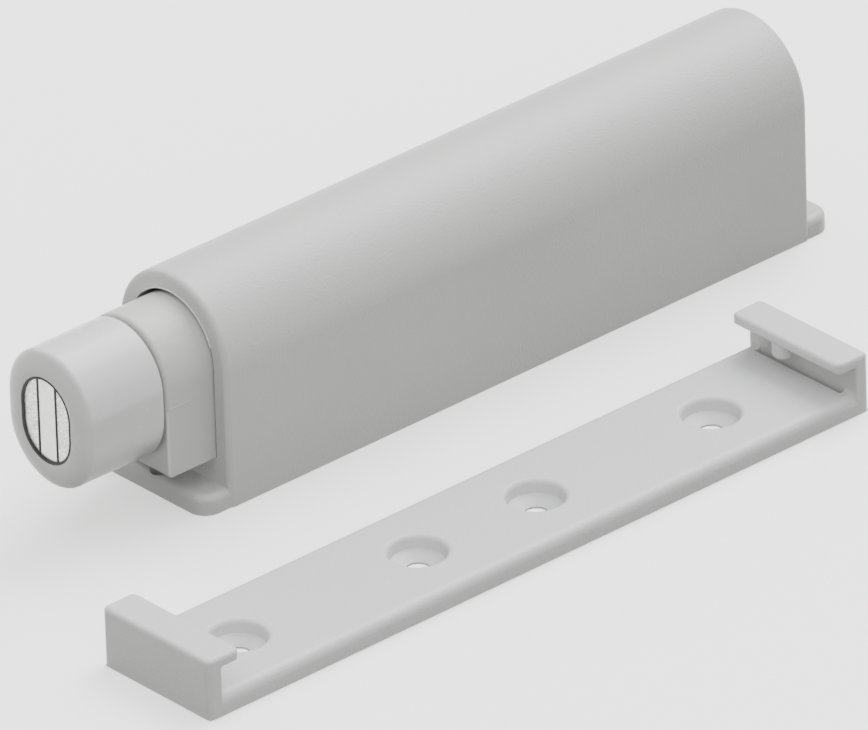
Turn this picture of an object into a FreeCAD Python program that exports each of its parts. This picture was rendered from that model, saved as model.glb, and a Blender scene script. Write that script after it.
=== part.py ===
import FreeCAD, Part
import math
import os

import Sketcher

# A push to open catch: a sprung D-section plunger with a magnetic head slides in a long
# moulded housing and latches on a wire pin. The strip that the housing snaps onto lies
# beside it. X runs from the head to the rear of the housing, Z points up from the base.

# Driving dimensions, in millimetres and degrees.
SIZES = {
    "housing_length": 79.9,
    "housing_width": 16.3,
    "arch_centre_height": 15.55,
    "rim_round": 0.6,
    "front_wall": 3.0,
    "tongue_length": 3.45,
    "tongue_thickness": 2.2,
    "tongue_inset": 0.15,
    "tongue_corner": 2.1,
    "tongue_edge_round": 0.8,
    "dimple_depth": 1.0,
    "dimple_clearance": 0.2,
    "plunger_radius": 6.1,
    "plunger_floor": 5.15,
    "plunger_gap": 0.2,
    "plunger_drop": 0.35,
    "plunger_rear": 56.0,
    "plunger_front_round": 0.4,
    "nose_reach": 6.2,
    "nose_wall": 4.2,
    "collar_rise": 0.7,
    "collar_width": 2.0,
    "rear_guide_width": 3.0,
    "slide_clearance": 0.1,
    "stroke": 36.8,
    "push_in": 3.0,
    "stop_gap": 0.2,
    "bumper_thickness": 1.2,
    "fit_clearance": 0.02,
    "head_axis_height": 13.6,
    "head_half_width": 6.3,
    "head_rise": 1.3,
    "head_length": 10.1,
    "head_front_round": 1.1,
    "head_rear_round": 0.3,
    "head_wall": 1.7,
    "head_recess_depth": 3.1,
    "head_gap": 0.4,
    "magnet_half_width": 3.85,
    "magnet_rise": 0.75,
    "magnet_clearance": 0.1,
    "magnet_width": 2.4,
    "magnet_length": 4.2,
    "pole_gap": 0.3,
    "keeper_thickness": 0.8,
    "stem_radius": 2.95,
    "stem_clearance": 0.05,
    "stem_depth": 10.0,
    "stem_collar_radius": 4.2,
    "stem_collar_width": 1.2,
    "spigot_radius": 1.9,
    "stem_chamfer": 0.4,
    "insert_radius": 4.2,
    "insert_length": 5.6,
    "ring_section": 0.55,
    "ring_seat_length": 1.3,
    "spring_chamber_radius": 4.3,
    "spring_radius": 3.5,
    "spring_wire_radius": 0.35,
    "spring_turns": 22,
    "washer_thickness": 0.6,
    "rod_radius": 2.4,
    "rod_front": 20.0,
    "rod_chamfer": 0.6,
    "plug_thickness": 2.6,
    "plug_boss_length": 4.0,
    "plug_boss_radius": 3.05,
    "pin_radius": 0.7,
    "pin_reach": 32.7,
    "pin_angle": 4.6,
    "pin_tip_front": 7.3,
    "pin_height": 4.2,
    "pin_bend": 1.1,
    "pin_foot_height": 1.8,
    "pin_clearance": 0.05,
    "track_depth": 2.2,
    "track_clearance": 0.4,
    "track_end_room": 2.5,
    "notch_in_island": 1.2,
    "tip_clearance": 0.2,
    "chamber_front_room": 2.1,
    "chamber_half_width": 4.4,
    "chamber_rear_room": 6.0,
    "cover_thickness": 1.5,
    "cover_margin": 1.6,
    "cover_corner": 1.2,
    "cover_clearance": 0.12,
    "cover_rib": 1.0,
    "cover_rib_height": 1.2,
    "pivot_boss_radius": 2.3,
    "pivot_boss_height": 1.6,
    "leaf_thickness": 0.3,
    "leaf_width": 4.6,
    "leaf_foot": 5.0,
    "leaf_length": 16.0,
    "leaf_post_radius": 0.7,
    "core_gap": 2.2,
    "core_depth": 4.0,
    "core_wall": 1.9,
    "plate_width": 16.0,
    "plate_thickness": 2.3,
    "plate_edge_round": 1.1,
    "plate_corner_round": 0.7,
    "clip_wall": 1.15,
    "clip_depth": 4.3,
    "clip_top_round": 0.6,
    "lip_thickness": 1.25,
    "lip_round": 0.45,
    "tongue_clearance": 0.12,
    "tongue_play": 1.0,
    "pip_radius": 1.15,
    "pip_height": 1.5,
    "pip_from_tip": 1.6,
    "first_hole": 10.8,
    "outer_hole_gap": 24.0,
    "inner_hole_gap": 16.0,
    "screw_hole_radius": 1.8,
    "screw_head_radius": 3.5,
    "countersink_angle": 90.0,
    "hole_rim_round": 0.3,
    "plate_ahead": 29.8,
    "plate_aside": 30.75,
}

doc = FreeCAD.newDocument("push_catch")
sheet = doc.addObject("Spreadsheet::Sheet", "Sizes")
for row, (alias, number) in enumerate(SIZES.items(), start=1):
    sheet.set(f"A{row}", alias)
    sheet.set(f"B{row}", str(number))
    sheet.setAlias(f"B{row}", alias)
doc.recompute()


class Size:
    """A value of the sheet, or a sum made of such values, kept with its formula."""

    def __init__(self, value, formula):
        self.value = value
        self.formula = formula

    def __add__(self, other):
        other = as_size(other)
        return Size(self.value + other.value, f"({self.formula} + {other.formula})")

    def __sub__(self, other):
        other = as_size(other)
        return Size(self.value - other.value, f"({self.formula} - {other.formula})")

    def __mul__(self, other):
        other = as_size(other)
        return Size(self.value * other.value, f"({self.formula} * {other.formula})")

    def __truediv__(self, other):
        other = as_size(other)
        return Size(self.value / other.value, f"({self.formula} / {other.formula})")

    def __neg__(self):
        return Size(-self.value, f"(0 - {self.formula})")


def as_size(number):
    return number if isinstance(number, Size) else Size(float(number), str(number))


def size(alias):
    return Size(float(SIZES[alias]), f"Sizes.{alias}")


def sine(angle):
    return Size(math.sin(math.radians(angle.value)), f"sin({angle.formula} * 1 deg)")


def cosine(angle):
    return Size(math.cos(math.radians(angle.value)), f"cos({angle.formula} * 1 deg)")


def leg(longest, other):
    """The third side of a right-angled triangle."""
    square = longest * longest - other * other
    return Size(math.sqrt(square.value), f"sqrt{square.formula}")


ZERO = as_size(0)

# Heights and lengths that several pieces share.
plate_length = (
    size("housing_length") + size("tongue_length") * 2 + size("tongue_clearance") * 2
    + size("clip_wall") * 2
)
clip_height = (
    size("plate_thickness") + size("tongue_thickness") + size("tongue_play")
    + size("lip_thickness")
)
lip_height = clip_height - size("lip_thickness")
arch_radius = size("housing_width") / 2
opening_radius = size("plunger_radius") + size("plunger_gap")
collar_radius = size("plunger_radius") + size("collar_rise")
channel_radius = collar_radius + size("slide_clearance")
channel_floor = size("plunger_floor") - size("slide_clearance")
bumper_rear = size("front_wall") + size("bumper_thickness")
collar_front = bumper_rear + size("stroke") + size("stop_gap")
plug_front = size("housing_length") - size("plug_thickness")

# The head, along X from the front of the housing.
nose_front = -size("nose_reach")
head_rear = nose_front - size("head_gap")
head_front = head_rear - size("head_length")
magnet_rear = head_front + size("magnet_length")
keeper_rear = magnet_rear + size("keeper_thickness") + size("fit_clearance") * 2
recess_floor = head_rear - size("head_recess_depth")
chamber_nose = size("nose_wall")
washer_rear = chamber_nose + size("washer_thickness")

# The latch: where the pin's tip stands, and the two lanes that it runs in.
pin_pivot = size("pin_tip_front") + size("pin_reach")
tip_x = pin_pivot - size("pin_reach") * cosine(size("pin_angle"))
lane_offset = size("pin_reach") * sine(size("pin_angle"))
lane_half_width = size("pin_radius") + size("track_clearance")
track_half_width = lane_offset + lane_half_width
island_half_width = lane_offset - lane_half_width
track_front = tip_x - size("push_in") - size("pin_radius") - size("track_clearance") * 2
island_front = tip_x + size("pin_radius") + size("track_clearance")
island_rear = tip_x + size("stroke") - lane_half_width
track_rear = tip_x + size("stroke") + size("track_end_room")
track_roof = size("plunger_floor") + size("track_depth")

# The cover under the latch.
chamber_front = size("pin_tip_front") - size("pin_radius") - size("chamber_front_room")
chamber_rear = pin_pivot + size("chamber_rear_room")
cover_front = chamber_front - size("cover_margin")
cover_rear = chamber_rear + size("cover_margin")
cover_half_width = size("chamber_half_width") + size("cover_margin")

# The whole object stands centred over the origin, so both pieces are shifted.
catch_x = (size("plate_ahead") - size("housing_length") - size("tongue_length")) / 2
catch_y = (size("plate_aside") + size("plate_width") / 2 - arch_radius) / 2
plate_x = catch_x - size("plate_ahead")
plate_y = catch_y - size("plate_aside")

SUB_PARTS = []


def bind(thing, path, value):
    thing.setExpression(path, as_size(value).formula)


def place(piece, x=ZERO, y=ZERO, z=ZERO):
    """Put a finished sub-part at its place in the catch."""
    bind(piece, "Placement.Base.x", catch_x + x)
    bind(piece, "Placement.Base.y", catch_y + y)
    bind(piece, "Placement.Base.z", z)
    SUB_PARTS.append(piece)


def new_body(name):
    body = doc.addObject("PartDesign::Body", name)
    body.Label = name
    return body


def new_sketch(body, role, offset=ZERO):
    """A sketch on one of the body's own origin planes, moved out along its normal."""
    planes = {feature.Role: feature for feature in body.Origin.OriginFeatures}
    sketch = body.newObject("Sketcher::SketchObject", f"{body.Name}_sketch")
    sketch.AttachmentSupport = [(planes[role], "")]
    sketch.MapMode = "FlatFace"
    bind(sketch, ".AttachmentOffset.Base.z", offset)
    return sketch


def fix_along(sketch, kind, edge, end, value):
    """Hold one coordinate of a sketch point at a size of the sheet."""
    if value.value == 0:
        axis = -2 if kind == "DistanceX" else -1
        sketch.addConstraint(Sketcher.Constraint("PointOnObject", edge, end, axis))
        return
    number = sketch.addConstraint(Sketcher.Constraint(kind, -1, 1, edge, end, value.value))
    bind(sketch, f"Constraints[{number}]", value)


def arc_geometry(start, finish, centre, turn):
    """The arc from start to finish about centre, as the sketcher stores it."""
    first, last = (start, finish) if turn == "ccw" else (finish, start)
    u, v = centre[0].value, centre[1].value
    angles = [math.atan2(p[1].value - v, p[0].value - u) for p in (first, last)]
    radius = math.hypot(start[0].value - u, start[1].value - v)
    circle = Part.Circle(FreeCAD.Vector(u, v, 0), FreeCAD.Vector(0, 0, 1), radius)
    if angles[1] <= angles[0]:
        angles[1] += 2 * math.pi
    return Part.ArcOfCircle(circle, angles[0], angles[1])


def outline(sketch, points, arcs=None):
    """A closed loop through the points. arcs gives (centre u, centre v, turn) by edge."""
    arcs = arcs or {}
    points = [(as_size(u), as_size(v)) for u, v in points]
    first = sketch.GeometryCount
    ends = []
    for number, start in enumerate(points):
        finish = points[(number + 1) % len(points)]
        if number in arcs:
            u, v, turn = arcs[number]
            shape = arc_geometry(start, finish, (as_size(u), as_size(v)), turn)
            ends.append((1, 2) if turn == "ccw" else (2, 1))
        else:
            corners = [FreeCAD.Vector(p[0].value, p[1].value, 0) for p in (start, finish)]
            shape = Part.LineSegment(*corners)
            ends.append((1, 2))
        sketch.addGeometry(shape, False)
    for number, point in enumerate(points):
        following = (number + 1) % len(points)
        sketch.addConstraint(Sketcher.Constraint(
            "Coincident", first + number, ends[number][1], first + following, ends[following][0]
        ))
        fix_along(sketch, "DistanceX", first + number, ends[number][0], point[0])
        fix_along(sketch, "DistanceY", first + number, ends[number][0], point[1])
    for number, (u, v, turn) in arcs.items():
        start, finish = points[number], points[(number + 1) % len(points)]
        wide = abs(finish[0].value - start[0].value) >= abs(finish[1].value - start[1].value)
        kind, value = ("DistanceY", v) if wide else ("DistanceX", u)
        fix_along(sketch, kind, first + number, 3, as_size(value))


def circle(sketch, u, v, radius):
    number = sketch.addGeometry(Part.Circle(
        FreeCAD.Vector(as_size(u).value, as_size(v).value, 0), FreeCAD.Vector(0, 0, 1),
        radius.value,
    ), False)
    fix_along(sketch, "DistanceX", number, 3, as_size(u))
    fix_along(sketch, "DistanceY", number, 3, as_size(v))
    held = sketch.addConstraint(Sketcher.Constraint("Radius", number, radius.value))
    bind(sketch, f"Constraints[{held}]", radius)


def arch_outline(sketch, radius, centre_height, floor):
    """A D lying on its flat side: a round top on two upright sides."""
    outline(
        sketch,
        [(-radius, floor), (radius, floor), (radius, centre_height), (-radius, centre_height)],
        {2: (ZERO, centre_height, "ccw")},
    )


def volume(body):
    return body.Shape.Volume if body.Tip else 0.0


def pad(body, sketch, length, symmetric=False):
    """Raise the sketch and make sure that the body grew."""
    before = volume(body)
    feature = body.newObject("PartDesign::Pad", f"{body.Name}_pad")
    feature.Profile = sketch
    bind(feature, "Length", length)
    if symmetric:
        feature.SideType = "Symmetric"
    doc.recompute()
    if volume(body) <= before:
        raise ValueError(f"{feature.Name} adds nothing")


def pocket(body, sketch, depth, along_normal=False):
    """Cut the sketch out of the body and make sure that something was removed."""
    before = volume(body)
    feature = body.newObject("PartDesign::Pocket", f"{body.Name}_pocket")
    feature.Profile = sketch
    feature.Reversed = along_normal
    bind(feature, "Length", depth)
    doc.recompute()
    if volume(body) >= before:
        raise ValueError(f"{feature.Name} cuts nothing")


def round_edges(body, radius, wanted):
    """Fillet the edges of the body so far whose bounding box passes the test."""
    base, before = body.Tip, volume(body)
    names = [
        f"Edge{number}" for number, edge in enumerate(base.Shape.Edges, start=1)
        if wanted(edge.BoundBox)
    ]
    if not names:
        raise ValueError(f"no edge of {body.Label} fits the test")
    feature = body.newObject("PartDesign::Fillet", f"{body.Name}_fillet")
    feature.Base = (base, names)
    bind(feature, "Radius", radius)
    doc.recompute()
    if near(volume(body), before, 0.0001):
        raise ValueError(f"{feature.Name} rounds nothing")


def turned(name, points):
    """A body of revolution: points give (x, radius) along the head's axis."""
    body = new_body(name)
    sketch = new_sketch(body, "XZ_Plane")
    outline(sketch, points)
    feature = body.newObject("PartDesign::Revolution", f"{name}_turning")
    feature.Profile = sketch
    feature.ReferenceAxis = (sketch, ["H_Axis"])
    feature.Angle = 360
    doc.recompute()
    place(body, z=size("head_axis_height"))
    return body


def near(value, target, margin=0.01):
    return abs(value - target) < margin


def add_tongue(body, end, outward):
    """The tongue at one end: a flat lug with round corners that slips under a clip."""
    sign = as_size(outward)
    tip = end + sign * size("tongue_length")
    corner = tip - sign * size("tongue_corner")
    root = end - sign * size("front_wall") / 2
    side = arch_radius - size("tongue_inset")
    inset = side - size("tongue_corner")
    turn = "cw" if outward < 0 else "ccw"
    sketch = new_sketch(body, "XY_Plane")
    outline(
        sketch,
        [(root, -side), (corner, -side), (tip, -inset), (tip, inset), (corner, side), (root, side)],
        {1: (corner, -inset, turn), 3: (corner, inset, turn)},
    )
    pad(body, sketch, size("tongue_thickness"))
    top, edge_x = size("tongue_thickness").value, end.value
    round_edges(body, size("tongue_edge_round"), lambda box: (
        near(box.ZMin, top) and near(box.ZMax, top)
        and (box.Center.x - edge_x) * outward > 0.01
    ))
    dimple = new_sketch(body, "XY_Plane", size("tongue_thickness"))
    centre = tip - sign * size("pip_from_tip")
    circle(dimple, centre, ZERO, size("pip_radius") + size("dimple_clearance"))
    pocket(body, dimple, size("dimple_depth"))


def make_housing():
    body = new_body("housing")
    section = new_sketch(body, "YZ_Plane")
    arch_outline(section, arch_radius, size("arch_centre_height"), ZERO)
    pad(body, section, size("housing_length"))
    rear = size("housing_length").value
    round_edges(body, size("rim_round"), lambda box: (
        box.XLength < 0.01 and box.ZMax > 1 and (near(box.XMin, 0) or near(box.XMin, rear))
    ))
    add_tongue(body, ZERO, -1)
    add_tongue(body, size("housing_length"), 1)

    opening = new_sketch(body, "YZ_Plane")
    arch_outline(opening, opening_radius, size("arch_centre_height"), channel_floor)
    pocket(body, opening, size("front_wall") * 2, along_normal=True)
    channel = new_sketch(body, "YZ_Plane", size("front_wall"))
    arch_outline(channel, channel_radius, size("arch_centre_height"), channel_floor)
    pocket(body, channel, size("housing_length"), along_normal=True)

    chamber = new_sketch(body, "XY_Plane")
    half = size("chamber_half_width")
    outline(chamber, [
        (chamber_front, -half), (chamber_rear, -half),
        (chamber_rear, half), (chamber_front, half),
    ])
    pocket(body, chamber, channel_floor * 1.2, along_normal=True)
    seat = new_sketch(body, "XY_Plane")
    rounded_box(seat, cover_front, cover_rear, cover_half_width, size("cover_corner"))
    pocket(body, seat, size("cover_thickness"), along_normal=True)

    # Two blind pockets lighten the rear of the base, where no mechanism lies.
    core_start = cover_rear + size("core_gap")
    core_length = (plug_front - core_start - size("core_gap") * 2) / 2
    core_half_width = arch_radius - size("core_wall")
    for number in (0, 1):
        front = core_start + (core_length + size("core_gap")) * number
        core = new_sketch(body, "XY_Plane")
        rounded_box(core, front, front + core_length, core_half_width, size("cover_corner"))
        pocket(body, core, size("core_depth"), along_normal=True)
    place(body)


def rounded_box(sketch, front, rear, half_width, corner):
    """A rectangle along X with four round corners."""
    near_x, far_x = front + corner, rear - corner
    inset = half_width - corner
    outline(
        sketch,
        [
            (near_x, -half_width), (far_x, -half_width), (rear, -inset), (rear, inset),
            (far_x, half_width), (near_x, half_width), (front, inset), (front, -inset),
        ],
        {
            1: (far_x, -inset, "ccw"), 3: (far_x, inset, "ccw"),
            5: (near_x, inset, "ccw"), 7: (near_x, -inset, "ccw"),
        },
    )


def make_rear_plug():
    body = new_body("rear_plug")
    disc = new_sketch(body, "YZ_Plane", plug_front)
    fit = size("fit_clearance")
    arch_outline(disc, channel_radius - fit, size("arch_centre_height"), channel_floor + fit)
    pad(body, disc, size("plug_thickness"))
    boss = new_sketch(body, "YZ_Plane", plug_front - size("plug_boss_length"))
    circle(boss, ZERO, size("head_axis_height"), size("plug_boss_radius"))
    pad(body, boss, size("plug_boss_length"))
    socket = new_sketch(body, "YZ_Plane", plug_front - size("plug_boss_length"))
    circle(socket, ZERO, size("head_axis_height"), size("rod_radius") + fit)
    pocket(body, socket, size("plug_boss_length"), along_normal=True)
    place(body)


def make_stop_bumper():
    body = new_body("stop_bumper")
    arch = new_sketch(body, "YZ_Plane", size("front_wall") + size("fit_clearance"))
    outer = channel_radius - size("fit_clearance")
    foot = channel_floor + size("fit_clearance")
    height = size("arch_centre_height")
    outline(
        arch,
        [
            (outer, foot), (outer, height), (-outer, height), (-outer, foot),
            (-opening_radius, foot), (-opening_radius, height),
            (opening_radius, height), (opening_radius, foot),
        ],
        {1: (ZERO, height, "ccw"), 5: (ZERO, height, "cw")},
    )
    pad(body, arch, size("bumper_thickness") - size("fit_clearance"))
    place(body)


def make_plunger():
    body = new_body("plunger")
    height, floor = size("arch_centre_height"), size("plunger_floor")
    section = new_sketch(body, "YZ_Plane", nose_front)
    arch_outline(section, size("plunger_radius"), height - size("plunger_drop"), floor)
    pad(body, section, size("nose_reach") + size("plunger_rear"))
    nose = nose_front.value
    round_edges(body, size("plunger_front_round"), lambda box: (
        near(box.XMin, nose) and near(box.XMax, nose)
    ))

    stop = new_sketch(body, "YZ_Plane", collar_front)
    arch_outline(stop, collar_radius, height, floor)
    pad(body, stop, size("collar_width"))
    guide = new_sketch(body, "YZ_Plane", size("plunger_rear") - size("rear_guide_width"))
    arch_outline(guide, collar_radius, height, floor)
    pad(body, guide, size("rear_guide_width"))

    chamber = new_sketch(body, "YZ_Plane", size("plunger_rear"))
    circle(chamber, ZERO, size("head_axis_height"), size("spring_chamber_radius"))
    pocket(body, chamber, size("plunger_rear") - chamber_nose)
    bore = new_sketch(body, "YZ_Plane", nose_front)
    circle(bore, ZERO, size("head_axis_height"), size("stem_radius") + size("plunger_gap"))
    pocket(body, bore, size("nose_reach") + chamber_nose, along_normal=True)
    seat = new_sketch(body, "YZ_Plane", nose_front)
    circle(seat, ZERO, size("head_axis_height"), size("insert_radius"))
    pocket(body, seat, size("ring_seat_length") + size("insert_length"), along_normal=True)
    cut_loop_track(body)
    place(body)


def cut_loop_track(body):
    """The latch track in the underside: two lanes round an island with a notched front.

    The pin runs in along one lane, is caught by the notch, and leaves by the other lane.
    """
    sketch = new_sketch(body, "XY_Plane", size("plunger_floor"))
    rounded_box(sketch, track_front, track_rear, track_half_width, size("pin_radius"))
    half = island_half_width
    horn = half * 0.66
    shoulder = island_front + size("notch_in_island")
    tail = island_rear - half
    outline(
        sketch,
        [
            (shoulder, ZERO), (island_front, -horn), (shoulder, -half), (tail, -half),
            (tail, half), (shoulder, half), (island_front, horn),
        ],
        {3: (tail, ZERO, "ccw")},
    )
    pocket(body, sketch, size("track_depth"), along_normal=True)


def upright_round(sketch, half_width, rise):
    """A round drawn out upwards: two half circles, each moved off the middle by the rise."""
    outline(
        sketch,
        [(half_width, -rise), (half_width, rise), (-half_width, rise), (-half_width, -rise)],
        {1: (ZERO, rise, "ccw"), 3: (ZERO, -rise, "ccw")},
    )


def make_head_cap():
    body = new_body("head_cap")
    section = new_sketch(body, "YZ_Plane", head_front)
    upright_round(section, size("head_half_width"), size("head_rise"))
    pad(body, section, size("head_length"))
    for end, bend in ((head_front, "head_front_round"), (head_rear, "head_rear_round")):
        x = end.value
        round_edges(body, size(bend), lambda box: near(box.XMin, x) and near(box.XMax, x))

    seat = new_sketch(body, "YZ_Plane", head_front)
    clearance = size("magnet_clearance")
    upright_round(seat, size("magnet_half_width") + clearance, size("magnet_rise"))
    pocket(body, seat, keeper_rear - head_front, along_normal=True)
    recess = new_sketch(body, "YZ_Plane", head_rear)
    upright_round(recess, size("head_half_width") - size("head_wall"), size("head_rise"))
    pocket(body, recess, size("head_recess_depth"))
    hole = new_sketch(body, "YZ_Plane", head_front)
    circle(hole, ZERO, ZERO, size("spigot_radius") + size("fit_clearance"))
    pocket(body, hole, size("head_length"), along_normal=True)
    place(body, z=size("head_axis_height"))


def make_adjusting_stem():
    start = keeper_rear + size("fit_clearance")
    collar = recess_floor + size("fit_clearance")
    collar_rear = collar + size("stem_collar_width")
    end = collar_rear + size("stem_depth")
    chamfer = size("stem_chamfer")
    shank = size("stem_radius")
    turned("adjusting_stem", [
        (start, ZERO), (start, size("spigot_radius")), (collar, size("spigot_radius")),
        (collar, size("stem_collar_radius")), (collar_rear, size("stem_collar_radius")),
        (collar_rear, shank), (end - chamfer, shank), (end, shank - chamfer), (end, ZERO),
    ])


def make_thread_insert():
    front = nose_front + size("ring_seat_length")
    rear = front + size("insert_length") - size("fit_clearance")
    outer = size("insert_radius") - size("fit_clearance")
    inner = size("stem_radius") + size("stem_clearance")
    turned("thread_insert", [(front, inner), (front, outer), (rear, outer), (rear, inner)])


def make_spring_washer():
    front = chamber_nose + size("fit_clearance")
    inner = size("spring_radius") - size("spring_wire_radius") * 2
    outer = size("spring_chamber_radius") - size("stem_clearance")
    turned("spring_washer", [
        (front, inner), (front, outer), (washer_rear, outer), (washer_rear, inner),
    ])


def make_guide_rod():
    end = plug_front - size("fit_clearance")
    chamfer, radius = size("rod_chamfer"), size("rod_radius")
    front = size("rod_front")
    turned("guide_rod", [
        (front, ZERO), (front, radius - chamfer), (front + chamfer, radius), (end, radius),
        (end, ZERO),
    ])


def make_friction_ring():
    """A rubber ring in the nose, which the stem passes through."""
    ring = doc.addObject("Part::Torus", "friction_ring")
    ring.Label = "friction_ring"
    middle = nose_front + size("ring_seat_length") / 2
    bind(ring, "Radius1", size("stem_radius") + size("stem_clearance") + size("ring_section"))
    bind(ring, "Radius2", size("ring_section"))
    ring.Placement.Rotation = FreeCAD.Rotation(FreeCAD.Vector(0, 1, 0), 90)
    place(ring, middle, z=size("head_axis_height"))


def make_return_spring():
    """A long coil between the washer in the plunger and the plug at the rear."""
    wire = size("spring_wire_radius")
    front = washer_rear + wire + size("fit_clearance")
    rear = plug_front - wire - size("fit_clearance")
    coil = doc.addObject("Part::Helix", "spring_path")
    bind(coil, "Radius", size("spring_radius"))
    bind(coil, "Height", rear - front)
    bind(coil, "Pitch", (rear - front) / size("spring_turns"))
    section = doc.addObject("Part::Circle", "spring_section")
    bind(section, "Radius", wire)
    bind(section, "Placement.Base.x", size("spring_radius"))
    section.Placement.Rotation = FreeCAD.Rotation(FreeCAD.Vector(1, 0, 0), 90)
    spring = doc.addObject("Part::Sweep", "return_spring")
    spring.Label = "return_spring"
    spring.Sections = [section]
    spring.Spine = (coil, [])
    spring.Solid = True
    spring.Frenet = True
    spring.Placement.Rotation = FreeCAD.Rotation(FreeCAD.Vector(0, 1, 0), 90)
    place(spring, front, z=size("head_axis_height"))


def make_face_piece(name, points, arcs):
    """One piece of the magnet's round, drawn as seen from the front."""
    body = new_body(name)
    face = new_sketch(body, "YZ_Plane", head_front)
    outline(face, points, arcs)
    pad(body, face, size("magnet_length"))
    place(body, z=size("head_axis_height"))


def make_magnet_set():
    """The magnet between two pole plates, and the round keeper plate behind all three."""
    outer, rise, half = size("magnet_half_width"), size("magnet_rise"), size("magnet_width") / 2
    start = half + size("pole_gap")
    top, pole_top = rise + leg(outer, half), rise + leg(outer, start)
    low_first = {0: (ZERO, -rise, "ccw"), 2: (ZERO, rise, "ccw")}
    high_first = {0: (ZERO, rise, "ccw"), 2: (ZERO, -rise, "ccw")}
    make_face_piece("magnet", [
        (-half, -top), (half, -top), (half, top), (-half, top),
    ], low_first)
    make_face_piece("pole_plate_left", [
        (start, -pole_top), (outer, -rise), (outer, rise), (start, pole_top),
    ], low_first)
    make_face_piece("pole_plate_right", [
        (-start, pole_top), (-outer, rise), (-outer, -rise), (-start, -pole_top),
    ], high_first)
    front = magnet_rear + size("fit_clearance")
    rear = front + size("keeper_thickness")
    turned("keeper_plate", [(front, ZERO), (front, outer), (rear, outer), (rear, ZERO)])


def make_bottom_cover():
    body = new_body("bottom_cover")
    gap = size("cover_clearance")
    plate = new_sketch(body, "XY_Plane")
    rounded_box(
        plate, cover_front + gap, cover_rear - gap, cover_half_width - gap, size("cover_corner")
    )
    pad(body, plate, size("cover_thickness") - gap)
    top = size("cover_thickness") - gap

    # Two ribs line the chamber's side walls and hold the cover in place.
    outer = size("chamber_half_width") - gap
    inner = outer - size("cover_rib")
    front, rear = chamber_front + gap, chamber_rear - gap
    for low, high in ((-outer, -inner), (inner, outer)):
        rib = new_sketch(body, "XY_Plane", top)
        outline(rib, [(front, low), (rear, low), (rear, high), (front, high)])
        pad(body, rib, size("cover_rib_height"))

    boss = new_sketch(body, "XY_Plane", top)
    circle(boss, pin_pivot, ZERO, size("pivot_boss_radius"))
    pad(body, boss, size("pivot_boss_height"))
    post = new_sketch(body, "XY_Plane", top)
    circle(post, leaf_post_x(), ZERO, size("leaf_post_radius"))
    pad(body, post, size("leaf_thickness") * 2)
    hole = new_sketch(body, "XY_Plane", size("pin_foot_height") - size("pin_clearance"))
    circle(hole, pin_pivot, ZERO, size("pin_radius") + size("pin_clearance"))
    pocket(body, hole, size("cover_thickness") + size("pivot_boss_height"), along_normal=True)
    place(body)


def leaf_post_x():
    """The leaf spring's foot lies just ahead of the pivot boss."""
    foot_rear = pin_pivot - size("pivot_boss_radius") - size("cover_clearance")
    return foot_rear - size("leaf_foot") / 2


def make_follower_pin():
    """A wire with an upright foot in the cover, a long arm and an upright tip."""
    body = new_body("follower_pin")
    reach, bend, arm = size("pin_reach"), size("pin_bend"), size("pin_height")
    foot, tip = size("pin_foot_height"), track_roof - size("tip_clearance")
    path = new_sketch(body, "XZ_Plane")
    corners = [
        (ZERO, foot), (ZERO, arm - bend), (-bend, arm), (bend - reach, arm),
        (-reach, arm + bend), (-reach, tip),
    ]
    open_wire(path, corners, {1: (-bend, arm - bend, "ccw"), 3: (bend - reach, arm + bend, "cw")})
    wire = new_sketch(body, "XY_Plane", foot)
    circle(wire, ZERO, ZERO, size("pin_radius"))
    sweep = body.newObject("PartDesign::AdditivePipe", "follower_sweep")
    sweep.Profile = wire
    sweep.Spine = (path, [])
    doc.recompute()
    body.Placement.Rotation = FreeCAD.Rotation(FreeCAD.Vector(0, 0, 1), 1)
    bind(body, "Placement.Rotation.Angle", Size(0, f"{size('pin_angle').formula} * 1 deg"))
    place(body, pin_pivot)


def open_wire(sketch, points, arcs):
    """A run of lines and arcs through the points, left open at its ends."""
    ends = []
    for number, (start, finish) in enumerate(zip(points, points[1:])):
        if number in arcs:
            u, v, turn = arcs[number]
            shape = arc_geometry(start, finish, (u, v), turn)
            ends.append((1, 2) if turn == "ccw" else (2, 1))
        else:
            corners = [FreeCAD.Vector(p[0].value, p[1].value, 0) for p in (start, finish)]
            shape = Part.LineSegment(*corners)
            ends.append((1, 2))
        sketch.addGeometry(shape, False)
    for number, (begin, finish) in enumerate(ends):
        fix_along(sketch, "DistanceX", number, begin, points[number][0])
        fix_along(sketch, "DistanceY", number, begin, points[number][1])
        if number + 1 < len(ends):
            sketch.addConstraint(Sketcher.Constraint(
                "Coincident", number, finish, number + 1, ends[number + 1][0]
            ))
    fix_along(sketch, "DistanceX", len(ends) - 1, ends[-1][1], points[-1][0])
    fix_along(sketch, "DistanceY", len(ends) - 1, ends[-1][1], points[-1][1])
    for number, (u, v, turn) in arcs.items():
        fix_along(sketch, "DistanceX", number, 3, u)


def make_follower_spring():
    """A leaf spring: a flat foot on the cover and a blade up to the pin's arm."""
    body = new_body("follower_spring")
    thick = size("leaf_thickness")
    low = size("cover_thickness")
    high = size("pin_height") - size("pin_radius") - size("pin_clearance")
    foot_rear = leaf_post_x() + size("leaf_foot") / 2
    knee = foot_rear - size("leaf_foot")
    tip = knee - size("leaf_length")
    blade = new_sketch(body, "XZ_Plane")
    outline(blade, [
        (foot_rear, low), (foot_rear, low + thick), (knee, low + thick), (tip, high),
        (tip, high - thick), (knee, low),
    ])
    pad(body, blade, size("leaf_width"), symmetric=True)
    hole = new_sketch(body, "XY_Plane", low)
    circle(hole, leaf_post_x(), ZERO, size("leaf_post_radius") + size("pin_clearance"))
    pocket(body, hole, size("leaf_thickness") * 2, along_normal=True)
    place(body)


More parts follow.
